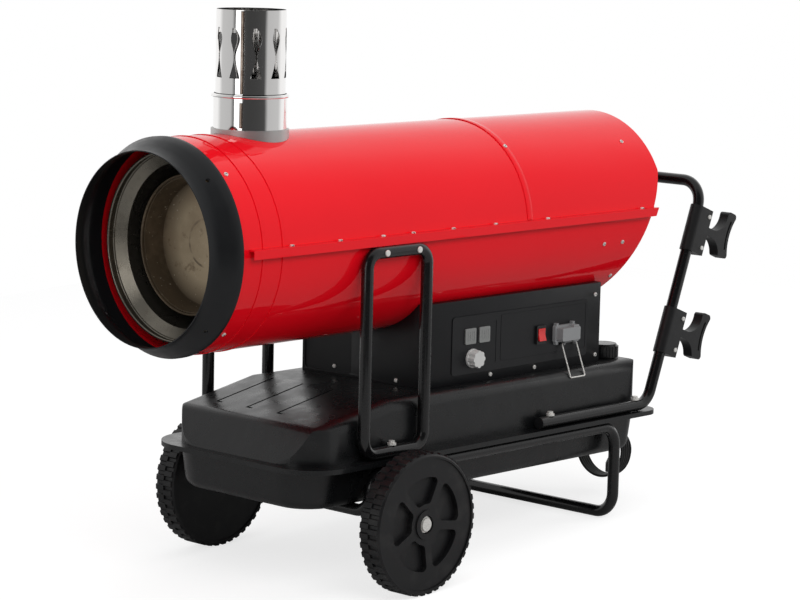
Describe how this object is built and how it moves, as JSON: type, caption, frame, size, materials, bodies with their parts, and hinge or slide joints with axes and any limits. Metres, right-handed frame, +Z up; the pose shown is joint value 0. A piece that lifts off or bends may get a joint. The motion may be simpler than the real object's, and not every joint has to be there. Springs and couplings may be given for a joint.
{
  "type": "forced air heater",
  "caption": "Indirect diesel forced air heater: round red barrel with side chimney outlet, control box, black fuel tank, two-wheeled barrow frame with handle, cable hooks and mains lead.",
  "frame": {"origin": "centre of the footprint's bounding box, at the floor under wheels and foot bar, without the mains lead", "axes": "+X from the warm air outlet towards the air inlet and the handle, +Y away from the control panel, +Z up; the barrel is tipped nose up by 2.8 degrees"},
  "size_m": [1.602, 0.642, 1.1667],
  "materials": {
    "casing_red": "gloss",
    "cone_black": "satin",
    "stainless": "polished",
    "heat_steel": "heat tinted",
    "zinc": "zinc plated",
    "box_black": "satin",
    "tube_black": "semi gloss",
    "tank_plastic": "moulded",
    "black_plastic": "moulded",
    "grey_plastic": "moulded",
    "red_plastic": "gloss",
    "motor_grey": "cast",
    "wheel_rubber": "moulded",
    "cord_rubber": "matt",
    "circuit_green": "board"
  },
  "bodies": {
    "heater": {"upper_shell_front": "casing_red", "upper_shell_rear": "casing_red", "lower_shell": "casing_red", "joint_band": "casing_red", "nose_cone": "cone_black", "casing_screws": "zinc", "heat_exchanger": "heat_steel", "combustion_chamber": "heat_steel", "drum_supports": "heat_steel", "flue_neck": "heat_steel", "flue_sleeve": "stainless", "flue_collar": "zinc", "flue_terminal": "stainless", "burner_tube": "heat_steel", "nozzle_line": "zinc", "electrodes": "zinc", "burner_housing": "motor_grey", "burner_motor": "motor_grey", "fuel_pump": "motor_grey", "fan_motor": "motor_grey", "motor_bracket": "zinc", "inlet_guard": "cone_black", "control_box": "box_black", "access_plate": "box_black", "control_panel": "box_black", "indicators": "grey_plastic", "switch_bezel": "black_plastic", "connector_plug": "grey_plastic", "thermostat_socket": "grey_plastic", "control_board": "circuit_green", "ignition_transformer": "black_plastic", "box_screws": "zinc", "fuel_tank": "tank_plastic", "drain_plug": "tank_plastic", "base_frame": "tube_black", "hoop_right": "tube_black", "hoop_left": "tube_black", "handle_frame": "tube_black", "end_plugs": "black_plastic", "cable_hook_upper": "black_plastic", "cable_hook_lower": "black_plastic", "hook_screws": "zinc", "axle_plates": "tube_black", "axle": "zinc", "axle_spacers": "zinc", "hub_nuts": "zinc", "frame_bolts": "zinc", "cord_gland": "black_plastic", "power_cord": "cord_rubber", "cord_coil": "cord_rubber", "cord_tie": "black_plastic", "mains_plug": "cord_rubber"},
    "wheel_left": {"wheel_left": "wheel_rubber"},
    "wheel_right": {"wheel_right": "wheel_rubber"},
    "fan": {"fan_impeller": "black_plastic", "motor_shaft": "zinc"},
    "knob": {"thermostat_knob": "grey_plastic"},
    "rocker": {"rocker_switch": "red_plastic"},
    "bail": {"wire_bail": "zinc"},
    "cap": {"fuel_cap": "tank_plastic"}
  },
  "joints": [
    {"name": "wheel_left_spin", "type": "hinge", "parent": "heater", "child": "wheel_left", "pos_m": [-0.33837, -0.29503, 0.145], "axis": [0, 1, 0], "continuous": true},
    {"name": "wheel_right_spin", "type": "hinge", "parent": "heater", "child": "wheel_right", "pos_m": [-0.33837, 0.29503, 0.145], "axis": [0, 1, 0], "continuous": true},
    {"name": "fan_spin", "type": "hinge", "parent": "heater", "child": "fan", "pos_m": [0.37493, 0, 0.66578], "axis": [0.9988, 0, -0.0489], "continuous": true},
    {"name": "knob_turn", "type": "hinge", "parent": "heater", "child": "knob", "pos_m": [-0.03669, -0.176, 0.41759], "axis": [0, -1, 0], "range_deg": [0, 270]},
    {"name": "rocker_tilt", "type": "hinge", "parent": "heater", "child": "rocker", "pos_m": [0.18242, -0.18, 0.43491], "axis": [0.9988, 0, -0.0489], "range_deg": [0, 16]},
    {"name": "bail_swing", "type": "hinge", "parent": "heater", "child": "bail", "pos_m": [0.27404, -0.181, 0.40439], "axis": [0.9988, 0, -0.0489], "range_deg": [-70, 0]},
    {"name": "cap_lift", "type": "slide", "parent": "heater", "child": "cap", "axis": [0.0489, 0, 0.9988], "range_m": [0, 0.05]}
  ]
}
